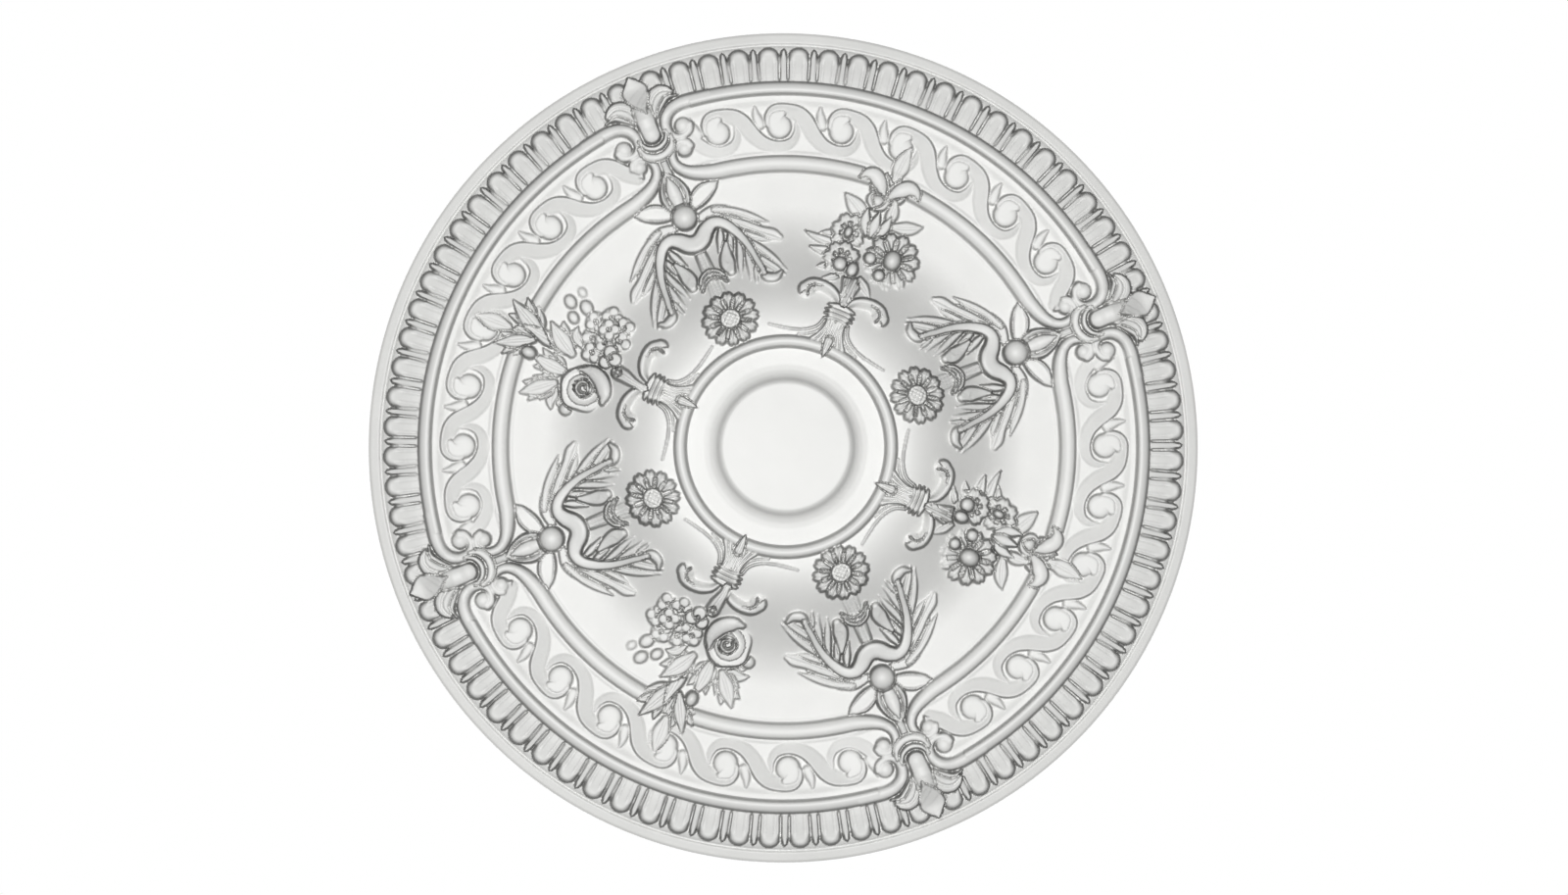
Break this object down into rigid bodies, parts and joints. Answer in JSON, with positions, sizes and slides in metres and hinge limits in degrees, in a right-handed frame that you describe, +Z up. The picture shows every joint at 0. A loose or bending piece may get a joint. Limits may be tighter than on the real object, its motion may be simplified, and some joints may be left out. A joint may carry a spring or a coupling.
{
  "type": "ceiling rose",
  "caption": "Round plaster ceiling rose with a raised centre, a ring of bouquets and acanthus, a running wave band and a rim of tongues; its flat back fixes to a ceiling.",
  "frame": {"origin": "middle of the flat back, where the rose meets the ceiling", "axes": "+Z up into the ceiling, the relief hangs towards -Z, +Y towards the top of the pattern"},
  "size_m": [0.82, 0.82, 0.105],
  "materials": {
    "plaster": "white casting plaster, fine and matt, softly smoothed by hand"
  },
  "bodies": {
    "root": {"ceiling_rose": "plaster"}
  },
  "joints": []
}
